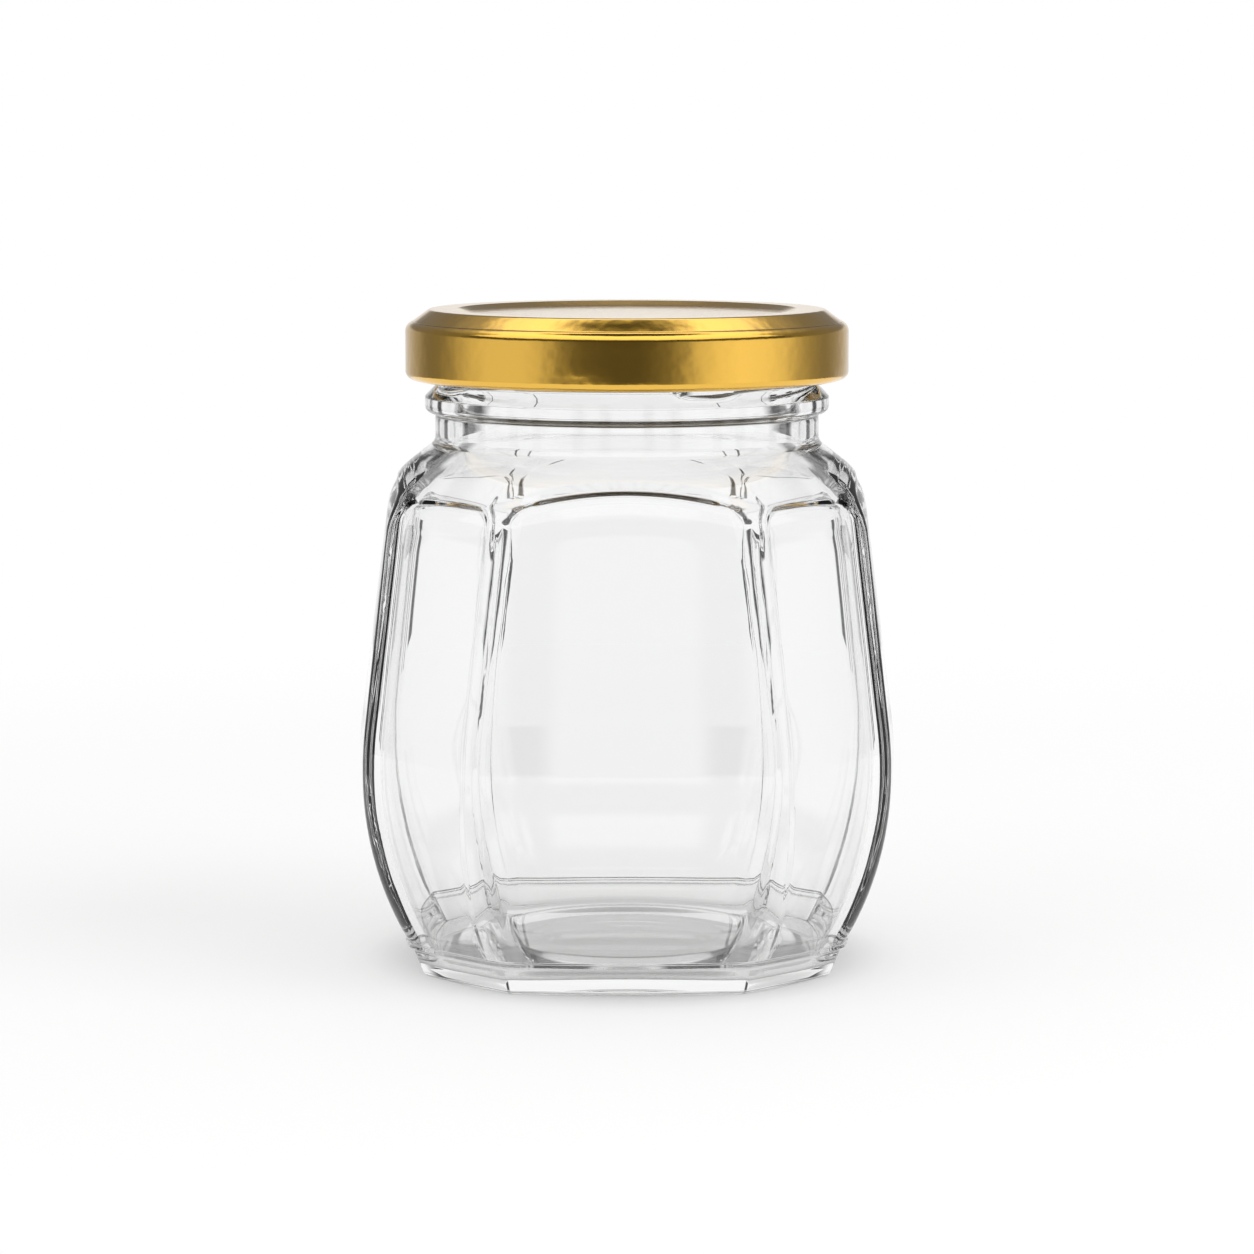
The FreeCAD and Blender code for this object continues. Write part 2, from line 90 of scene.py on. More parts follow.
NECK_Z = 77.2
BEAD_Z = 81.4
BEAD_TOP_Z = 83.8
FINISH_Z = 85.7                 # where the bead's slope meets the upright finish
RIM_Z = drawn(jar_high.z)
NECK_R = 28.25
BEAD_R = 29.75
FINISH_R = 27.85
BORE_R = 25.6
SHOULDER_SLOPE = math.radians(38)
SHOULDER_ROUND = 9.5
INNER_SHOULDER_ROUND = 3.0
RIM_ROUND = 0.8
RIDGE_END_Z = NECK_Z - 1.2      # above this the ridges keep their direction

# Widths and roundings that change with height, as (height, value).
OUTER_RIDGE = [(FOOT_HEIGHT, 6.0), (18, 4.5), (34, 4.0)]
INNER_RIDGE = [(8, 15.0), (30, 9.0), (50, 6.0)]
HALF_RIDGE = [(FOOT_HEIGHT, 2.6), (BELLY_Z, 0.65), (45, 0.75), (NECK_Z, 1.13)]

# ---- sizes of the threads and lugs --------------------------------------
LUG_ANGLE = math.radians(-104)
LUG_COUNT = 4
LUG_TOP_Z = 87.56
LUG_HALF_SPAN = math.radians(10)
LUG_STAND = 1.45                # inwards from the hem
LUG_HEIGHT = 1.9
MARK_DEPTH = 0.1                # dent outside each lug
MARK_HEIGHT = 2.8
MARK_FADE = 1.6
THREAD_LEAD = math.radians(62)  # from a thread's low end to its lug
THREAD_SPAN = math.radians(78)
THREAD_STAND = 2.15
THREAD_HALF_HEIGHT = 0.625
THREAD_HALF_ROOT = 0.98
THREAD_FLANK = 0.36             # height over which a thread's side rises
THREAD_CLEARANCE = 0.15         # from a lug to the thread above it
THREAD_R = FINISH_R + THREAD_STAND
THREAD_RISE = LUG_TOP_Z + THREAD_CLEARANCE + THREAD_HALF_HEIGHT - FINISH_Z
THREAD_CLIMB = THREAD_RISE / THREAD_LEAD

# ---- sizes of the lid ---------------------------------------------------
SHEET = 0.3
LID_R = drawn(lid_high.x)
LID_TOP = drawn(lid_high.z)
LID_BOTTOM = drawn(lid_low.z)
RING_IN = 25.15                 # raised ring over the seal
RING_OUT = 29.1
PANEL_R = RING_IN - 1.75        # sunk middle panel
PANEL_Z = LID_TOP - 0.6
STEP_R = RING_OUT + 2.4         # lower end of the slope outside the ring
STEP_Z = LID_TOP - 1.75
SKIRT_Z = STEP_Z - 0.2
HEM_R = LID_R - 2.0             # inside of the rolled hem
HEM_Z = LID_BOTTOM + 1.8
HEM_MIDDLE = LID_R - 1.1
HEM_HALF = HEM_MIDDLE - HEM_R
SHADED_LACQUER_Z = LID_BOTTOM + 0.4    # the inside lacquer starts here; it is made dark as painted shade

# ---- fineness of the meshes ---------------------------------------------
JAR_COLUMNS = 384
LID_COLUMNS = 288
PUNT_ROWS = 7
OUTSIDE_ROWS = 44
INSIDE_ROWS = 26
FINISH_ROWS = 34
# Rounds that find where two surfaces meet.
SHOULDER_ROUNDS = 6
FLOOR_ROUNDS = 8


# ---- meridians ----------------------------------------------------------
def arc_points(corner, before, after, radius, count):
    """Points round a corner between its neighbours, on a circle of that radius."""
    to_before = (before - corner).normalized()
    to_after = (after - corner).normalized()
    half_angle = to_before.angle(to_after) / 2
    if math.pi / 2 - half_angle < 1e-4:
        return [corner.copy() for _ in range(count + 1)]
    reach = radius / math.tan(half_angle)
    middle = (to_before + to_after).normalized()
    centre = corner + middle * (radius / math.sin(half_angle))
    start = corner + to_before * reach - centre
    turn = math.pi - 2 * half_angle
    if start.y * to_before.x - start.x * to_before.y < 0:
        turn = -turn
    points = []
    for i in range(count + 1):
        angle = turn * i / count
        cosine, sine = math.cos(angle), math.sin(angle)
        points.append(centre + Vector((
            start.x * cosine - start.y * sine, start.x * sine + start.y * cosine)))
    return points


def meridian(corners):
    """A rounded outline. Each corner is (radius, height, rounding, arc steps, steps on)."""
    points = []
    last = len(corners) - 1
    for i, (r, z, rounding, arc_steps, _) in enumerate(corners):
        here = Vector((r, z))
        if rounding and 0 < i < last:
            before = Vector(corners[i - 1][:2])
            after = Vector(corners[i + 1][:2])
            points.append(arc_points(here, before, after, rounding, arc_steps))
        else:
            points.append([here])
    line = []
    for i, group in enumerate(points):
        line += group
        if i < last:
            start, end = group[-1], points[i + 1][0]
            steps = corners[i][4]
            line += [start.lerp(end, k / steps) for k in range(1, steps)]
    return line


def sleeve(name, angles, outline_at):
    """A closed skin: a line spun round the axis, each column then drawn to its own outline."""
    mesh = bmesh.new()
    rows = len(outline_at(0.0))
    spine = [mesh.verts.new((1.0, 0.0, float(i))) for i in range(rows)]
    edges = [mesh.edges.new(pair) for pair in zip(spine, spine[1:])]
    count = len(angles)
    bmesh.ops.spin(mesh, geom=spine + edges, cent=(0, 0, 0), axis=(0, 0, 1), dvec=(0, 0, 0),
                   angle=2 * math.pi, steps=count, use_merge=True, use_duplicate=False)
    outlines = [outline_at(angle) for angle in angles]
    for vert in mesh.verts:
        column = round(math.atan2(vert.co.y, vert.co.x) * count / (2 * math.pi)) % count
        point = outlines[column][round(vert.co.z)]
        angle = angles[column]
        vert.co = (point.x * MM * math.cos(angle), point.x * MM * math.sin(angle), point.y * MM)
    bmesh.ops.remove_doubles(mesh, verts=mesh.verts, dist=1e-6)
    bmesh.ops.recalc_face_normals(mesh, faces=mesh.faces)
    for face in mesh.faces:
        face.smooth = True
    return finish_mesh(name, mesh)


def finish_mesh(name, mesh):
    """The bmesh as an object at the origin, linked to the scene."""
    data = bpy.data.meshes.new(name)
    mesh.to_mesh(data)
    mesh.free()
    piece = bpy.data.objects.new(name, data)
    bpy.context.scene.collection.objects.link(piece)
    return piece


def even_angles(count):
    """Angles evenly round a full turn."""
    return [2 * math.pi * i / count for i in range(count)]


def spread_angles(count, places, width, crowding):
    """Angles round a full turn, closer together near the given places."""
    fine = 7200
    weights = []
    for i in range(fine):
        angle = 2 * math.pi * (i + 0.5) / fine
        weight = 1.0
        for place in places:
            away = math.remainder(angle - place, 2 * math.pi)
            weight += crowding * math.exp(-(away / width) ** 2)
        weights.append(weight)
    total = sum(weights)
    angles = []
    reached = 0.0
    for i, weight in enumerate(weights):
        while len(angles) < count and reached + weight >= total * len(angles) / count:
            part = (total * len(angles) / count - reached) / weight
            angles.append(2 * math.pi * (i + part) / fine)
        reached += weight
    return angles


def between(value, stops):
    """Value read from a list of (place, value) steps, straight between them."""
    if value <= stops[0][0]:
        return stops[0][1]
    for (low, a), (high, b) in zip(stops, stops[1:]):
        if value < high:
            return a + (b - a) * (value - low) / (high - low)
    return stops[-1][1]


def smooth_step(value):
    """Nought to one, level at both ends."""
    value = min(1.0, max(0.0, value))
    return value * value * (3 - 2 * value)


# ---- the panelled body --------------------------------------------------
def barrel_half(heel, belly, shoulder, z):
    """Distance from the axis to the middle of a panel at a height."""
    drop = BELLY_Z - FOOT_HEIGHT
    inset = belly - heel
    arc_r = (drop ** 2 + inset ** 2) / (2 * inset)
    centre_x = belly - arc_r
    across, up = shoulder - centre_x, NECK_Z - BELLY_Z
    lean = math.atan2(up, across) - math.acos(arc_r / math.hypot(across, up))
    joint_z = BELLY_Z + arc_r * math.sin(lean)
    if z < joint_z:
        return centre_x + math.sqrt(arc_r ** 2 - (z - BELLY_Z) ** 2)
    return centre_x + arc_r * math.cos(lean) - (z - joint_z) * math.tan(lean)


def bow_fall(half_panel, bow_radius):
    """How far a bowed panel has fallen back at its own edge."""
    return bow_radius - math.sqrt(bow_radius ** 2 - half_panel ** 2)


def narrow_reach(half, share):
    """Distance from the axis to a narrow panel that leaves the wide ones that share."""
    half_panel = share * half
    ridge_reach = half - bow_fall(half_panel, WIDE_BOW)
    half_narrow = (ridge_reach - half_panel) / math.sqrt(2)
    return (ridge_reach + half_panel) / math.sqrt(2) + bow_fall(half_narrow, NARROW_BOW)


WIDE = (HALF_HEEL, HALF_BELLY, HALF_SHOULDER)
NARROW = tuple(narrow_reach(half, share) for half, share in zip(WIDE, WIDE_SHARES))


def circles_meet(a, ra, b, rb):
    """The point on the +X side where two circles meet."""
    apart = b - a
    gap = apart.length
    along = (gap ** 2 + ra ** 2 - rb ** 2) / (2 * gap)
    up = math.sqrt(ra ** 2 - along ** 2)
    unit = apart / gap
    across = Vector((-unit.y, unit.x)) * up
    if across.x < 0:
        across = -across
    return a + unit * along + across


def plan_radius(angle, wide, narrow, wide_belly, narrow_belly, ridge):
    """Radius of the eight-sided section at an angle, its ridges rounded."""
    turn = abs(math.remainder(angle, math.pi / 2))
    wide_axis = wide_belly - WIDE_BOW
    narrow_axis = narrow_belly - NARROW_BOW
    wide_r = wide - wide_axis
    narrow_r = narrow - narrow_axis
    a = Vector((wide_axis, 0.0))
    b = Vector((narrow_axis, narrow_axis)) / math.sqrt(2)
    ray = Vector((math.cos(turn), math.sin(turn)))
    on_wide = a.dot(ray) + math.sqrt(wide_r ** 2 - (a.x * ray.y - a.y * ray.x) ** 2)
    on_narrow = b.dot(ray) + math.sqrt(narrow_r ** 2 - (b.x * ray.y - b.y * ray.x) ** 2)
    centre = circles_meet(a, wide_r - ridge, b, narrow_r - ridge)
    side = centre.x * ray.y - centre.y * ray.x
    if abs(side) < ridge:
        along = centre.dot(ray) + math.sqrt(ridge ** 2 - side ** 2)
        out = ray * along - centre
        from_a, from_b = centre - a, centre - b
        if from_a.x * out.y - from_a.y * out.x > 0 and out.x * from_b.y - out.y * from_b.x > 0:
            return along
    return min(on_wide, on_narrow)


def outer_ridge(z):
    """Rounding of the outside ridges: wider towards the foot."""
    return between(z, OUTER_RIDGE)


def inner_ridge(z):
    """Rounding of the inside corners: wider towards the floor."""
    return between(z, INNER_RIDGE)


def body_radius(angle, z, inset, ridge):
    """Radius of the panelled body at an angle and height, moved inwards by the inset."""
    wide = barrel_half(*(half - inset for half in WIDE), z)
    narrow = barrel_half(*(half - inset for half in NARROW), z)
    return plan_radius(angle, wide, narrow, HALF_BELLY, NARROW[1], ridge)


def foot_radius(angle, z):
    """Radius of the tapered octagonal foot."""
    back = FOOT_STEP + (FOOT_HEIGHT - z) * math.tan(FOOT_TAPER)
    wide, narrow = HALF_HEEL - back, NARROW[0] - back
    wide_high, narrow_high = HALF_HEEL - FOOT_STEP, NARROW[0] - FOOT_STEP
    return plan_radius(angle, wide, narrow, wide_high, narrow_high, FOOT_CORNER)


def ridge_turn(z):
    """Angle from the middle of a wide panel to its ridge at a height."""
    wide = barrel_half(*WIDE, z)
    narrow = barrel_half(*NARROW, z)
    narrow_axis = NARROW[1] - NARROW_BOW
    a = Vector((HALF_BELLY - WIDE_BOW, 0.0))
    b = Vector((narrow_axis, narrow_axis)) / math.sqrt(2)
    meet = circles_meet(a, wide - a.x, b, narrow - narrow_axis)
    return math.atan2(meet.y, meet.x)


def panel_recess(angle, r, z, arch_z):
    """How far a panel lies below its raised frame of ridges and arch."""
    turn = abs(math.remainder(angle, math.pi / 2))
    from_ridge = abs(r * math.sin(turn - ridge_turn(min(z, RIDGE_END_Z))))
    beside = from_ridge - between(z, HALF_RIDGE)
    below = arch_z + ARCH_RISE - z
    if beside < PANEL_CORNER and below < PANEL_CORNER:
        inside = PANEL_CORNER - math.hypot(PANEL_CORNER - beside, PANEL_CORNER - below)
    else:
        inside = min(beside, below)
    under_belly = max(0.0, (BELLY_Z - z) / (BELLY_Z - FOOT_HEIGHT))
    depth = PANEL_SINK * (1 - SINK_LOSS * under_belly ** 2)
    return depth * smooth_step(inside / SINK_RUN) * smooth_step(z - FOOT_HEIGHT - HEEL_LIP)


def shoulder_meets(angle, start_r, start_z, inset, ridge):
    """Where the sloping shoulder runs into the panels, at an angle."""
    r = body_radius(angle, NECK_Z - 6, inset, ridge)
    for _ in range(SHOULDER_ROUNDS):
        z = start_z - (r - start_r) * math.tan(SHOULDER_SLOPE)
        r = body_radius(angle, z, inset, ridge)
    return r, z


def thread_stand(angle, z):
    """How far a thread stands out of the finish at an angle and height."""
    stand = 0.0
    for k in range(LUG_COUNT):
        low_end = LUG_ANGLE - THREAD_LEAD + k * 2 * math.pi / LUG_COUNT
        half_span = THREAD_SPAN / 2
        along = math.remainder(angle - low_end - half_span, 2 * math.pi) + half_span
        if not 0 < along < THREAD_SPAN:
            continue
        middle = FINISH_Z + THREAD_CLIMB * along
        crest = THREAD_STAND * math.sin(math.pi * along / THREAD_SPAN) ** 0.4
        side = (THREAD_HALF_ROOT - abs(z - middle)) / THREAD_FLANK
        stand = max(stand, min(1.0, max(0.0, side)) * crest)
    return stand


# ---- the jar's outline, from under the base to the inside floor ---------
def punt_line():
    """The hollow under the base, from the axis out to its edge."""
    radius, height = PUNT
    sphere = (radius ** 2 + height ** 2) / (2 * height)
    line = []
    for i in range(PUNT_ROWS + 1):
        r = radius * i / PUNT_ROWS
        line.append(Vector((r, math.sqrt(sphere ** 2 - r ** 2) - sphere + height)))
    return line


def foot_line(angle):
    """The foot, from the hollow's edge out and up to the heel."""
    low, high = foot_radius(angle, 0), foot_radius(angle, FOOT_HEIGHT)
    heel = body_radius(angle, FOOT_HEIGHT, 0, outer_ridge(FOOT_HEIGHT))
    above_z = FOOT_HEIGHT + 2
    above = body_radius(angle, above_z, 0, outer_ridge(above_z))
    return meridian([
        (PUNT[0], 0, 0, 0, 3),
        (low, 0, 1.3, 8, 4),
        (high, FOOT_TOP_Z, 0.7, 6, 1),
        (heel - GROOVE_BACK, GROOVE_Z, 0.35, 4, 1),
        (heel, HEEL_Z, 0.6, 5, 1),
        (above, above_z, 0, 0, 1),
    ])[1:-1]


def top_line(angle):
    """Shoulder, neck, bead, finish, rim, bore and inside shoulder; and the height of the arch."""
    drop = SHOULDER_WALL / math.cos(SHOULDER_SLOPE)
    bore_z = NECK_Z - drop + (NECK_R - BORE_R) * math.tan(SHOULDER_SLOPE)
    ridge, inner = outer_ridge(NECK_Z), inner_ridge(NECK_Z)
    arch_r, arch_z = shoulder_meets(angle, NECK_R, NECK_Z, 0, ridge)
    inner_r, inner_z = shoulder_meets(angle, BORE_R, bore_z, INSET, inner)
    under_z, inner_under_z = arch_z - 6, inner_z - 8
    line = meridian([
        (body_radius(angle, under_z, 0, ridge), under_z, 0, 0, 1),
        (arch_r, arch_z, SHOULDER_ROUND, 16, 3),
        (NECK_R, NECK_Z, 1.6, 6, 3),
        (NECK_R, BEAD_Z, 0.4, 3, 1),
        (BEAD_R, BEAD_Z, 1.0, 6, 2),
        (BEAD_R, BEAD_TOP_Z, 0.4, 3, 3),
        (FINISH_R, FINISH_Z, 0.5, 3, FINISH_ROWS),
        (FINISH_R, RIM_Z, RIM_ROUND, 6, 1),
        (BORE_R, RIM_Z, RIM_ROUND, 6, 5),
        (BORE_R, bore_z, 2.5, 6, 4),
        (inner_r, inner_z, INNER_SHOULDER_ROUND, 10, 1),
        (body_radius(angle, inner_under_z, INSET, inner), inner_under_z, 0, 0, 1),
    ])
    return line[1:-1], arch_z


def floor_line(angle):
    """The inside floor, from the foot of the wall in to the axis."""
    ring_r, ring_z = FLOOR_RING
    z = ring_z
    for _ in range(FLOOR_ROUNDS):
        r = body_radius(angle, z, INSET, inner_ridge(z))
        z = ring_z - (r - ring_r) * math.tan(FLOOR_FALL)
    above_z = z + 6
    return meridian([
        (body_radius(angle, above_z, INSET, inner_ridge(above_z)), above_z, 0, 0, 1),
        (r, z, 1.6, 10, 4),
        (ring_r, ring_z, 6, 4, 3),
        (FLOOR_FLAT, FLOOR, 12, 2, 4),
        (0, FLOOR, 0, 0, 1),
    ])[1:]


def wall_line(angle, start, end, rows, inset, ridge_at):
    """Points along a panelled wall between two points, without the two."""
    line = []
    for i in range(1, rows):
        z = start.y + (end.y - start.y) * i / rows
        line.append(Vector((body_radius(angle, z, inset, ridge_at(z)), z)))
    return line


def jar_outline(angle):
    """Outline of the whole jar at one angle."""
    base = punt_line() + foot_line(angle)
    top, arch_z = top_line(angle)
    floor = floor_line(angle)
    outside = base + wall_line(angle, base[-1], top[0], OUTSIDE_ROWS, 0, outer_ridge)
    inside = wall_line(angle, top[-1], floor[0], INSIDE_ROWS, INSET, inner_ridge)
    for point in outside + top:
        if FOOT_HEIGHT < point.y < arch_z + 1 and point.x > NECK_R + 0.5:
            point.x -= panel_recess(angle, point.x, point.y, arch_z)
    for point in top:
        if point.y > BEAD_TOP_Z + 0.2 and FINISH_R - 0.01 < point.x < THREAD_R:
            point.x = max(point.x, FINISH_R + thread_stand(angle, point.y))
    return outside + top + inside + floor


ridges = [side * math.pi / 2 + sign * RIDGE_TURN for side in range(4) for sign in (-1, 1)]
jar_angles = spread_angles(JAR_COLUMNS, ridges, math.radians(2.4), 3.4)
jar = sleeve("jar_glass", jar_angles, jar_outline)
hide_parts("jar")
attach(jar, "root")


# ---- lid ----------------------------------------------------------------
def lug_share(angle):
    """One at the middle of a lug, falling to nothing at its two ends."""
    away = abs(math.remainder(angle - LUG_ANGLE, 2 * math.pi / LUG_COUNT))
    return max(0.0, 1 - (away / LUG_HALF_SPAN) ** 2)


def lid_outline(angle):
    """Outline of the pressed lid at one angle, from the top middle to the underside middle."""
    outline = meridian([
        (0, PANEL_Z, 0, 0, 10),
        (PANEL_R, PANEL_Z, 0.5, 3, 1),
        (RING_IN, LID_TOP, 0.8, 4, 3),
        (RING_OUT, LID_TOP, 1.0, 5, 2),
        (STEP_R, STEP_Z, 0.6, 4, 1),
        (LID_R, SKIRT_Z, 1.5, 8, 12),
        (LID_R, LID_BOTTOM, 1.2, 8, 1),
        (HEM_R, LID_BOTTOM, 0.6, 5, 3),
        (HEM_R, HEM_Z, 0.6, 5, 1),
        (LID_R - SHEET, HEM_Z, 0.3, 2, 10),
        (LID_R - SHEET, SKIRT_Z - SHEET, 0.7, 5, 1),
        (STEP_R - SHEET, STEP_Z - SHEET, 0.9, 4, 1),
        (RING_OUT - SHEET / 2, LID_TOP - SHEET, 0.7, 5, 3),
        (RING_IN + SHEET / 2, LID_TOP - SHEET, 0.5, 4, 1),
        (PANEL_R + SHEET / 2, PANEL_Z - SHEET, 0.8, 3, 10),
        (0, PANEL_Z - SHEET, 0, 0, 1),
    ])
    share = lug_share(angle)
    for point in outline:
        height = point.y - LID_BOTTOM
        if height < LUG_HEIGHT and point.x < HEM_MIDDLE:
            point.x -= LUG_STAND * share * max(0.0, (HEM_MIDDLE - point.x) / HEM_HALF)
        elif height < MARK_HEIGHT and point.x > HEM_MIDDLE:
            point.x -= MARK_DEPTH * share * smooth_step((MARK_HEIGHT - height) / MARK_FADE)
    return outline


lid = sleeve("gold_lid", even_angles(LID_COLUMNS), lid_outline)
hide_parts("lid")
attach(lid, "root")


# ---- materials ----------------------------------------------------------
class Nodes:
    """A material's or the world's nodes, made and joined."""

    def __init__(self, owner):
        owner.use_nodes = True
        self.tree = owner.node_tree
        self.tree.nodes.clear()

    def add(self, kind, **settings):
        """A node with its own settings, such as its operation."""
        node = self.tree.nodes.new(kind)
        for name, value in settings.items():
            setattr(node, name, value)
        return node

    def filled(self, kind, sockets):
        """A node with its sockets set by name."""
        node = self.add(kind)
        for name, value in sockets.items():
            node.inputs[name].default_value = value
        return node

    def join(self, source, target):
        self.tree.links.new(source, target)

    def close(self, shader, kind="ShaderNodeOutputMaterial"):
        """Join the finished shader to an output."""
        self.join(shader, self.add(kind).inputs[0])

    def noise(self, scale, detail=2.0):
        """Noise on the piece's own coordinates."""
        place = self.add("ShaderNodeTexCoord")
        node = self.filled("ShaderNodeTexNoise", {"Scale": scale, "Detail": detail})
        self.join(place.outputs["Object"], node.inputs["Vector"])
        return node.outputs["Fac"]

    def math(self, operation, first, second=None):
        """One operation on numbers or sockets."""
        node = self.add("ShaderNodeMath", operation=operation)
        for socket, value in zip(node.inputs, (first, second)):
            if isinstance(value, (int, float)):
                socket.default_value = value
            elif value is not None:
                self.join(value, socket)
        return node.outputs[0]

    def ramp(self, factor, stops, interpolation="EASE"):
        """Greys or colours read from a list of (place, shade)."""
        node = self.add("ShaderNodeValToRGB")
        node.color_ramp.interpolation = interpolation
        elements = node.color_ramp.elements
        for place, _ in stops[2:]:
            elements.new(place)
        for element, (place, shade) in zip(sorted(elements, key=lambda e: e.position), stops):
            element.position = place
            element.color = (*shade, 1.0) if isinstance(shade, tuple) else (shade, shade, shade, 1.0)
        self.join(factor, node.inputs[0])
        return node.outputs[0]

    def mix_colours(self, first, second, factor=None, blend_type="MIX"):
        """Two colours mixed. The Mix node has its colours at inputs 6 and 7 and output 2."""
        node = self.add("ShaderNodeMix", data_type="RGBA", blend_type=blend_type)
        node.inputs[0].default_value = 1.0
        if factor:
            self.join(factor, node.inputs[0])
        self.join(first, node.inputs[6])
        self.join(second, node.inputs[7])
        return node.outputs[2]

    def mix_shaders(self, factor, first, second):
        """The second shader where the factor is one."""
        node = self.add("ShaderNodeMixShader")
        for source, socket in zip((factor, first, second), node.inputs):
            self.join(source, socket)
        return node.outputs[0]


def glass_material():
    """Clear glass whose shadow is pale instead of solid."""
    material = bpy.data.materials.new("clear_glass")
    nodes = Nodes(material)
    glass = nodes.filled("ShaderNodeBsdfPrincipled", {
        "Base Color": (0.965, 0.967, 0.966, 1), "Roughness": 0.0,
        "IOR": 1.5, "Transmission Weight": 1.0})
    pale = nodes.filled("ShaderNodeBsdfTransparent", {"Color": (0.93, 0.93, 0.925, 1)})
    shadow = nodes.add("ShaderNodeLightPath").outputs["Is Shadow Ray"]
    nodes.close(nodes.mix_shaders(shadow, glass.outputs[0], pale.outputs[0]))
    return material


def gold_material():
    """Gold-lacquered tinplate, slightly rippled."""
    material = bpy.data.materials.new("gold_tinplate")
    nodes = Nodes(material)
    ripple = nodes.noise(420.0, 1.5)
    bump = nodes.filled("ShaderNodeBump", {"Strength": 0.12, "Distance": 0.0005})
    nodes.join(ripple, bump.inputs["Height"])
    gold = nodes.filled("ShaderNodeBsdfPrincipled", {
        "Base Color": (0.86, 0.51, 0.075, 1), "Metallic": 1.0, "Roughness": 0.16,
        "Coat Weight": 0.5, "Coat Roughness": 0.08})
    nodes.join(bump.outputs[0], gold.inputs["Normal"])
    nodes.close(gold.outputs[0])
    return material


def shaded_lacquer_material():
    """Bronze lacquer on the inside of the lid, made dark as painted shade under the lid."""
    material = bpy.data.materials.new("inside_lacquer_painted_shade")
    nodes = Nodes(material)
    # Painted shade: the lacquer's bronze is made very dark to stand for the shade under the lid.
    shade = nodes.ramp(nodes.noise(160.0), [(0.3, (0.12, 0.085, 0.035)), (0.7, (0.16, 0.115, 0.05))])
    shaded_lacquer = nodes.filled("ShaderNodeBsdfPrincipled", {"Metallic": 0.6, "Roughness": 0.35})
    nodes.join(shade, shaded_lacquer.inputs["Base Color"])
    nodes.close(shaded_lacquer.outputs[0])
    return material


def seal_material():
    """Off-white sealing compound, finely speckled."""
    material = bpy.data.materials.new("seal_compound")
    nodes = Nodes(material)
    shade = nodes.ramp(nodes.noise(900.0), [(0.3, (0.74, 0.71, 0.66)), (0.7, (0.84, 0.82, 0.78))])
    rubber = nodes.filled("ShaderNodeBsdfPrincipled", {"Roughness": 0.6})
    nodes.join(shade, rubber.inputs["Base Color"])
    nodes.close(rubber.outputs[0])
    return material


def dress(piece, *materials):
    """Give a piece its materials in place of any it has."""
    piece.data.materials.clear()
    for material in materials:
        piece.data.materials.append(material)


def lacquer_and_shade_inside(piece):
    """Give the second material, dark lacquer that paints the shade under the lid, to the faces that look
    inwards or down, above the lower edge.
    """
    for face in piece.data.polygons:
        centre, normal = face.center, face.normal
        looks_in = normal.x * centre.x + normal.y * centre.y < 0
        looks_down = normal.z < -0.7
        if (looks_in or looks_down) and centre.z > SHADED_LACQUER_Z * MM and normal.z < 0.5:
            face.material_index = 1


dress(jar, glass_material())
dress(lid, gold_material(), shaded_lacquer_material())
lacquer_and_shade_inside(lid)
dress(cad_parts["seal"], seal_material())


# ---- floor --------------------------------------------------------------
def floor_material():
    """White card, part lit and part its own white; the own white is turned down under the jar as a
    painted shadow.
    """
    material = bpy.data.materials.new("white_floor")
    nodes = Nodes(material)
    lit = nodes.filled("ShaderNodeBsdfDiffuse", {"Color": (0.60, 0.60, 0.60, 1)})
    own = nodes.filled("ShaderNodeEmission", {"Color": (0.40, 0.40, 0.40, 1)})
    white = nodes.filled("ShaderNodeEmission", {"Color": (1, 1, 1, 1)})
    path = nodes.add("ShaderNodeLightPath")
    seen = nodes.math("MAXIMUM", path.outputs["Is Camera Ray"], path.outputs["Is Glossy Ray"])
    seen = nodes.math("MAXIMUM", seen, path.outputs["Is Transmission Ray"])
    place = nodes.add("ShaderNodeTexCoord")
    away = nodes.add("ShaderNodeVectorMath", operation="LENGTH")
    nodes.join(place.outputs["Object"], away.inputs[0])
    # Painted shadow: the floor's own white falls to a quarter under the jar.
    painted_jar_shadow = nodes.ramp(away.outputs["Value"], [(0.024, 0.25), (0.042, 1.0)])
    nodes.join(nodes.math("MULTIPLY", seen, painted_jar_shadow), own.inputs["Strength"])
    nodes.join(seen, white.inputs["Strength"])
    near = nodes.add("ShaderNodeAddShader")
    nodes.join(lit.outputs[0], near.inputs[0])
    nodes.join(own.outputs[0], near.inputs[1])
    far = nodes.ramp(away.outputs["Value"], [(0.14, 0.0), (0.36, 1.0)])
    nodes.close(nodes.mix_shaders(far, near.outputs[0], white.outputs[0]))
    return material


def round_floor():
    """A flat disc, whose edge fades into the white around it."""
    mesh = bmesh.new()
    bmesh.ops.create_circle(mesh, cap_ends=True, radius=0.42, segments=96)
    return finish_mesh("studio_floor", mesh)


studio_floor = round_floor()
dress(studio_floor, floor_material())


# ---- world --------------------------------------------------------------
# Brightness that metal sees round the horizon, as (degrees from the front, value).
AROUND_METAL = [
    (-180, 1.0), (-165, 0.7), (-140, 0.4), (-125, 0.2), (-112, 0.23), (-102, 0.36), (-90, 0.65),
    (-78, 0.84), (-55, 0.86), (-44, 0.72), (-36, 0.32), (-26, 0.14), (-12, 0.09), (8, 0.09),
    (20, 0.18), (28, 0.33), (36, 0.76), (46, 0.98), (60, 1.13), (76, 1.06), (88, 0.88),
    (98, 0.55), (110, 0.32), (124, 0.23), (140, 0.35), (156, 0.6), (180, 1.0),
]
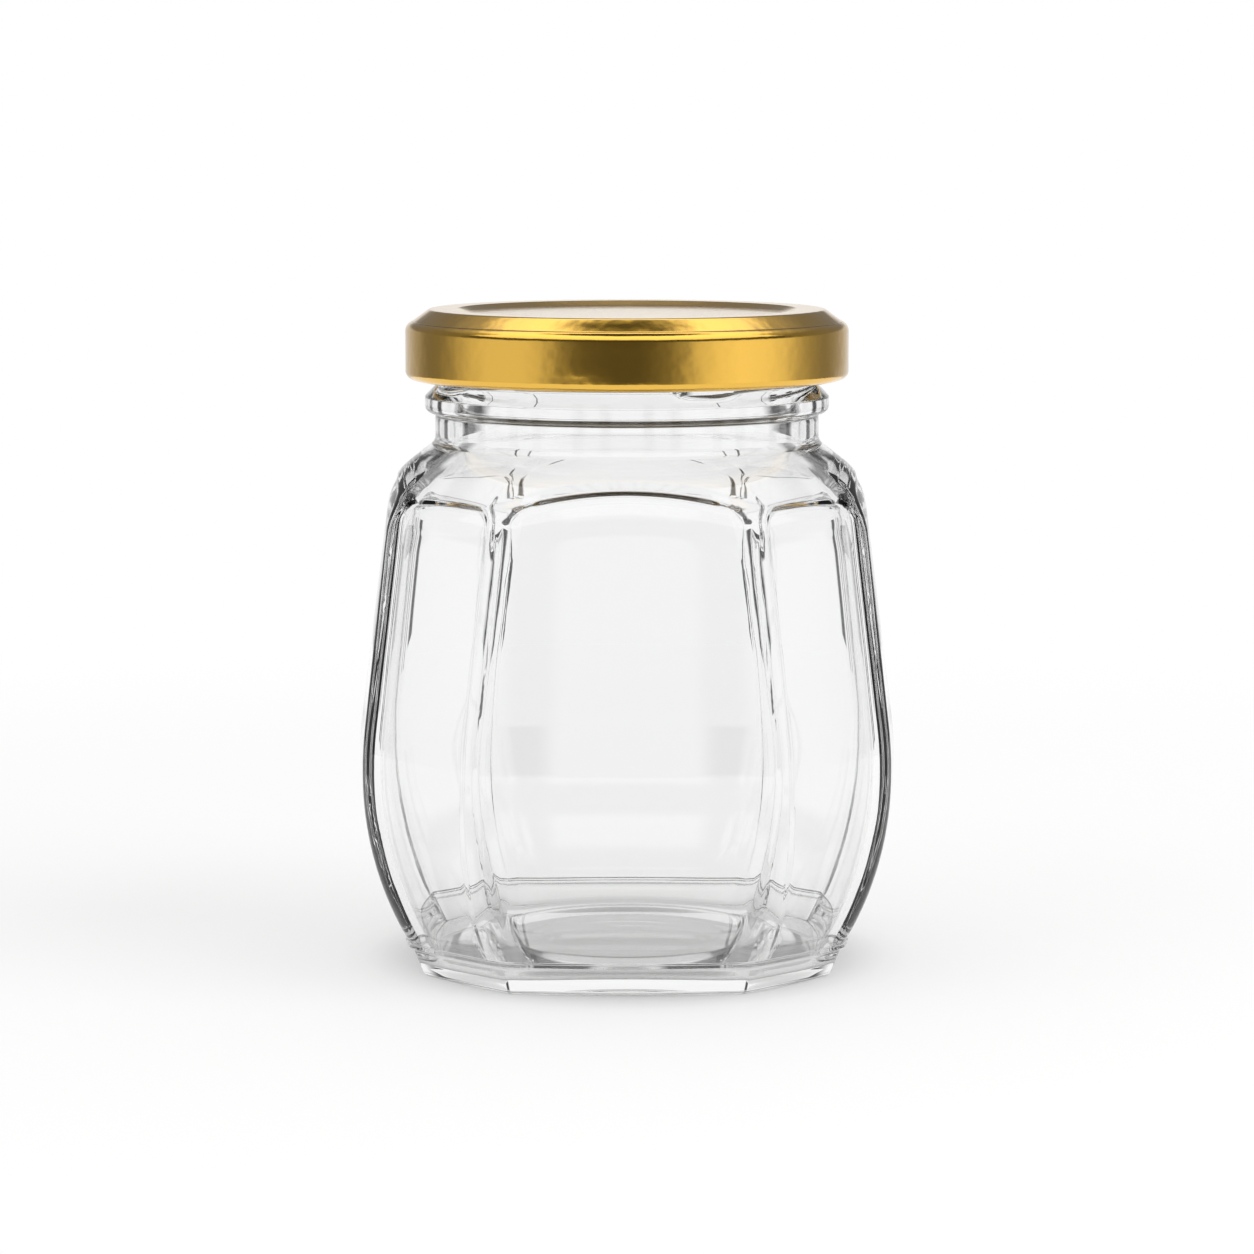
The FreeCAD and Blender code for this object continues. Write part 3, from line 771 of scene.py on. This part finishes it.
# These four are read by the upward part of a direction, from level at 0 to straight up at 1.
HORIZON_TO_OVERHEAD = [(0.1, 0.0), (0.2, 1.0)]
OVERHEAD_FRONT = [(0.42, 0.06), (0.5, 1.3), (0.93, 1.7), (0.965, 0.06)]
OVERHEAD_BACK = [(0.5, 0.2), (0.7, 0.4), (0.8, 1.5), (0.9, 1.7), (0.955, 0.06), (1.0, 0.06)]
GLASS_CLIMB = [
    (0.0, 1.0), (0.25, 1.0), (0.3, 0.04), (0.42, 0.04), (0.47, 1.0), (0.58, 1.0), (0.64, 0.1),
    (0.85, 0.1), (0.9, 0.9),
]
# From the middle of a wide white panel, at 0, to that of the narrow one beside it, at 0.5.
GLASS_PANELS = [(0.0, 1.0), (0.21, 1.0), (0.26, 0.03), (0.36, 0.03), (0.41, 1.0), (0.5, 1.0)]


def metal_surroundings(nodes, axes, turn):
    """Softboxes between dark gaps round the horizon, and others overhead, front and back."""
    stops = [(degrees / 360 + 0.5, value) for degrees, value in AROUND_METAL]
    around = nodes.ramp(nodes.math("ADD", turn, 0.5), stops, "LINEAR")
    overhead_front = nodes.ramp(axes.outputs["Z"], OVERHEAD_FRONT)
    overhead_back = nodes.ramp(axes.outputs["Z"], OVERHEAD_BACK)
    behind = nodes.ramp(axes.outputs["Y"], [(-0.1, 0.0), (0.1, 1.0)])
    overhead = nodes.mix_colours(overhead_front, overhead_back, behind)
    return nodes.mix_colours(around, overhead, nodes.ramp(axes.outputs["Z"], HORIZON_TO_OVERHEAD))


def glass_surroundings(nodes, axes, turn):
    """Wide and narrow white panels with dark gaps round the horizon, and two dark bands above it."""
    eighth = nodes.math("FRACT", nodes.math("ADD", nodes.math("MULTIPLY", turn, 8.0), 0.5))
    from_middle = nodes.math("ABSOLUTE", nodes.math("SUBTRACT", eighth, 0.5))
    panels = nodes.ramp(from_middle, GLASS_PANELS, "LINEAR")
    climb = nodes.ramp(axes.outputs["Z"], GLASS_CLIMB)
    return nodes.mix_colours(panels, climb, blend_type="MULTIPLY")


def studio_world():
    """White to the camera, plain light to matt surfaces, a studio to metal and glass."""
    world = bpy.data.worlds.new("studio")
    bpy.context.scene.world = world
    nodes = Nodes(world)
    place = nodes.add("ShaderNodeTexCoord")
    axes = nodes.add("ShaderNodeSeparateXYZ")
    nodes.join(place.outputs["Generated"], axes.inputs[0])
    front = nodes.math("MULTIPLY", axes.outputs["Y"], -1.0)
    turn = nodes.math("DIVIDE", nodes.math("ARCTAN2", axes.outputs["X"], front), 2 * math.pi)
    path = nodes.add("ShaderNodeLightPath")
    seen = nodes.filled("ShaderNodeBackground", {"Color": (0.72, 0.72, 0.72, 1)}).outputs[0]
    studio = (("Is Glossy Ray", metal_surroundings), ("Is Transmission Ray", glass_surroundings))
    for ray, surroundings in studio:
        light = nodes.add("ShaderNodeBackground")
        nodes.join(surroundings(nodes, axes, turn), light.inputs["Color"])
        seen = nodes.mix_shaders(path.outputs[ray], seen, light.outputs[0])
    white = nodes.filled("ShaderNodeBackground", {"Color": (1, 1, 1, 1)})
    seen = nodes.mix_shaders(path.outputs["Is Camera Ray"], seen, white.outputs[0])
    nodes.close(seen, "ShaderNodeOutputWorld")


studio_world()


# ---- lamps --------------------------------------------------------------
def softbox(name, place, size, power):
    """A square lamp turned to the middle of the jar, not seen in the gold or the glass."""
    data = bpy.data.lights.new(name, "AREA")
    data.shape = "SQUARE"
    data.size = size
    data.energy = power
    lamp = bpy.data.objects.new(name, data)
    lamp.location = place
    aim = Vector((0, 0, 0.05)) - Vector(place)
    lamp.rotation_euler = aim.to_track_quat("-Z", "Y").to_euler()
    lamp.visible_glossy = False
    lamp.visible_transmission = False
    bpy.context.scene.collection.objects.link(lamp)


softbox("key_softbox", (0.75, -0.35, 0.85), 0.7, 4.5)
softbox("fill_softbox", (-0.8, -0.5, 0.7), 0.8, 2.0)


# ---- camera -------------------------------------------------------------
LOOK_DOWN = 7.228   # degrees

camera = bpy.data.objects.new("camera", bpy.data.cameras.new("camera"))
camera.data.sensor_width = 36.0
camera.data.lens = 118.5
camera.data.clip_start = 0.01
camera.location = (0.0, -0.608, 0.1264)
camera.rotation_euler = (math.radians(90 - LOOK_DOWN), 0, 0)
bpy.context.scene.collection.objects.link(camera)
bpy.context.scene.camera = camera

bpy.context.scene.view_settings.view_transform = "Standard"

# Light is turned back many times inside the thick glass before it leaves.
light_paths = bpy.context.scene.cycles
light_paths.max_bounces = 16
light_paths.glossy_bounces = 10
light_paths.transmission_bounces = 16
